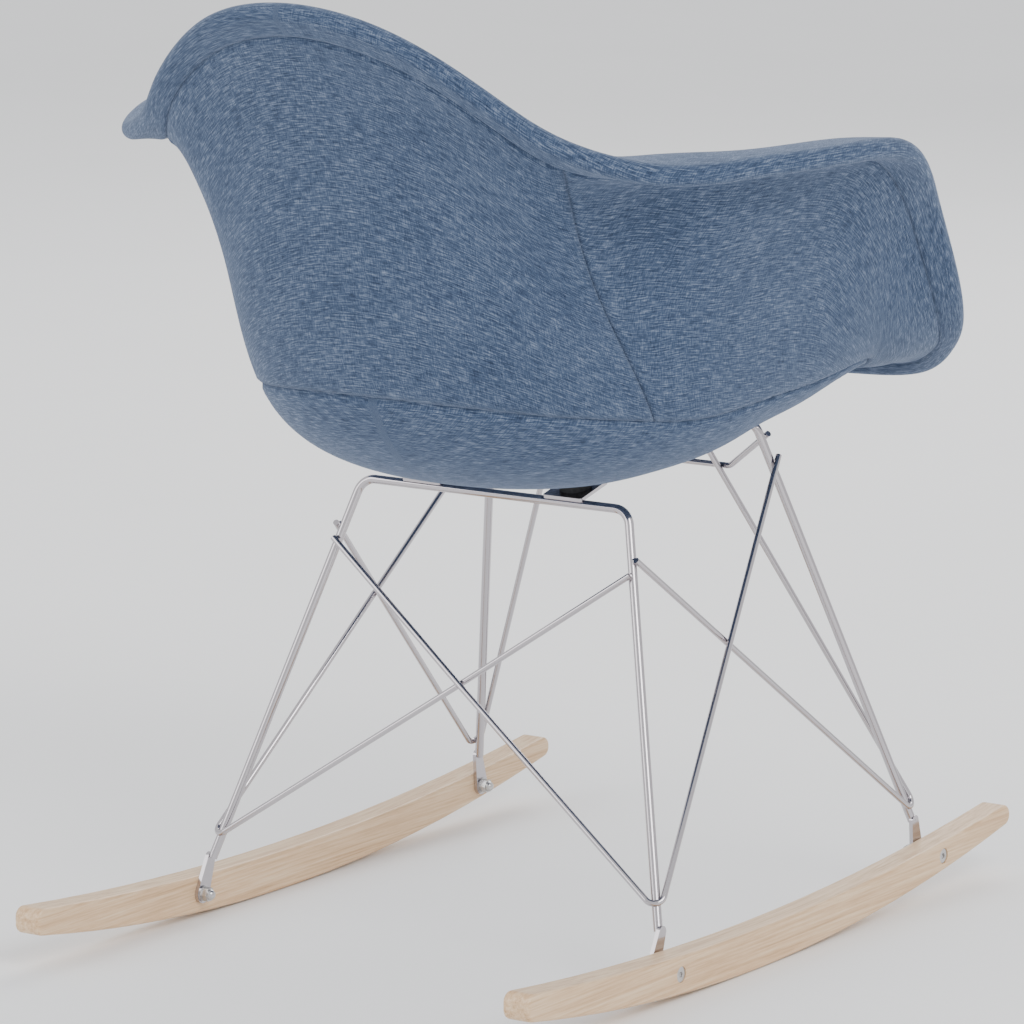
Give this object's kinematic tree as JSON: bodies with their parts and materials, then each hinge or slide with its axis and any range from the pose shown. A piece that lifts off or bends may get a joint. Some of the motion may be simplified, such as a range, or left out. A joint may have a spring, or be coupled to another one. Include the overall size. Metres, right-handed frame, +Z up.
{
  "type": "rocking chair",
  "caption": "Padded bucket armchair shell in blue fabric on a bent chromed wire base, standing on two curved wooden rockers",
  "frame": {"origin": "on the floor, under the middle of the chair's bounding box", "axes": "+Z up, +Y the way the sitter faces, +X to the right when looking along +Y"},
  "size_m": [0.6382, 0.69, 0.738],
  "materials": {
    "shell_plastic": "moulded glass-filled plastic",
    "foam": "soft polyurethane foam",
    "upholstery": "heathered blue linen-look weave with slubs",
    "chrome_rod": "polished chromed steel rod",
    "rubber": "black rubber",
    "brass": "plain threaded insert",
    "fastener": "zinc plated steel",
    "beech": "clear-lacquered straight-grained beech"
  },
  "bodies": {
    "root": {"seat_shell": "shell_plastic", "seat_pad": "foam", "shell_wadding": "foam", "front_cover": "upholstery", "back_panel": "upholstery", "side_panel_left": "upholstery", "side_panel_right": "upholstery", "underside_panel": "upholstery", "rear_frame": "chrome_rod", "front_frame": "chrome_rod", "front_stretcher": "chrome_rod", "strut_rear_left": "chrome_rod", "strut_rear_right": "chrome_rod", "strut_front_left": "chrome_rod", "strut_front_right": "chrome_rod", "mount_plates": "chrome_rod", "rubber_mounts": "rubber", "mount_inserts": "brass", "mount_screws": "fastener", "rocker_left": "beech", "rocker_right": "beech", "rocker_bolts": "fastener", "rocker_washers": "fastener", "acorn_nuts": "fastener"}
  },
  "joints": []
}
